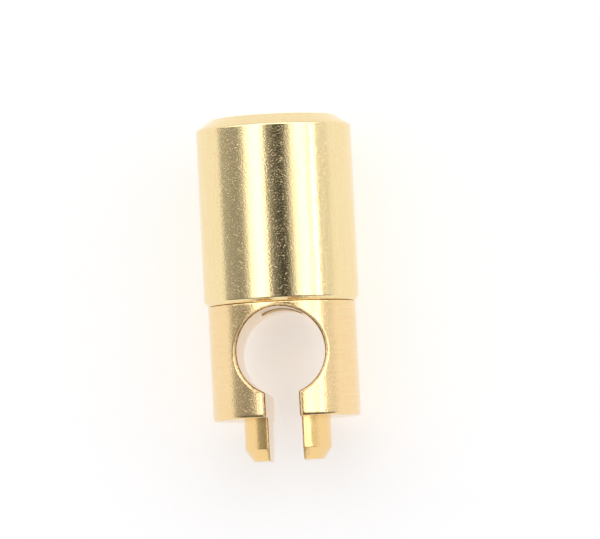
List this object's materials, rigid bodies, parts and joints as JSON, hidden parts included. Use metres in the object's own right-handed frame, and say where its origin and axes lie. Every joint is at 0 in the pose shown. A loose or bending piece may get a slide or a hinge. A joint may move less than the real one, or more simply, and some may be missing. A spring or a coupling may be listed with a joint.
{
  "type": "electrode holder",
  "caption": "Small turned brass electrode holder: a cross bore opened by a slot through a split clamping spigot, and a screw cap over a spring-loaded clamp pad.",
  "frame": {"origin": "centre of the seat, the shoulder face that the split spigot stands out of", "axes": "+Y along the holder's axis from the spigot to the cap, +Z along the electrode bore, +X across the slot"},
  "size_m": [0.012, 0.0266, 0.012],
  "materials": {
    "turned_brass": "fine turned, with circumferential tool lines",
    "drawn_brass": "drawn bar surface, polished lengthwise",
    "seal_rubber": "matte",
    "screw_steel": "turned and slotted",
    "insulator_white": "matte, heat resistant",
    "spring_steel": "drawn wire",
    "plunger_steel": "turned",
    "pad_brass": "bright brass",
    "key_steel": "ground"
  },
  "bodies": {
    "holder": {"holder_body": "turned_brass", "plunger_key": "key_steel"},
    "seal": {"cap_seal_ring": "seal_rubber"},
    "cap": {"screw_cap": "drawn_brass"},
    "spring_seat": {"upper_insulator": "insulator_white", "clamp_spring": "spring_steel"},
    "adjuster": {"adjusting_screw": "screw_steel"},
    "plunger": {"clamp_plunger": "plunger_steel", "clamp_pad": "pad_brass", "lower_insulator": "insulator_white"}
  },
  "joints": [
    {"name": "cap_lift", "type": "slide", "parent": "holder", "child": "seal", "axis": [0, 1, 0], "range_m": [0, 0.008]},
    {"name": "cap_turn", "type": "hinge", "parent": "seal", "child": "cap", "pos_m": [0, 0.016, 0], "axis": [0, 1, 0], "range_deg": [0, 2880.5]},
    {"name": "adjuster_lift", "type": "slide", "parent": "holder", "child": "spring_seat", "axis": [0, 1, 0], "range_m": [0, 0.0015], "deforming": ["clamp_spring"]},
    {"name": "adjuster_turn", "type": "hinge", "parent": "spring_seat", "child": "adjuster", "pos_m": [0, 0.01675, 0], "axis": [0, 1, 0], "range_deg": [0, 720.5]},
    {"name": "plunger_slide", "type": "slide", "parent": "holder", "child": "plunger", "axis": [0, 1, 0], "range_m": [0, 0.0004], "stiffness_N_per_m": 8000, "springref_m": -0.0008, "deforming": ["clamp_spring"]}
  ],
  "couplings": [
    {"joint": "cap_turn", "follows": "cap_lift", "rad_per_m": 6283.2},
    {"joint": "adjuster_turn", "follows": "adjuster_lift", "rad_per_m": 8377.6}
  ]
}
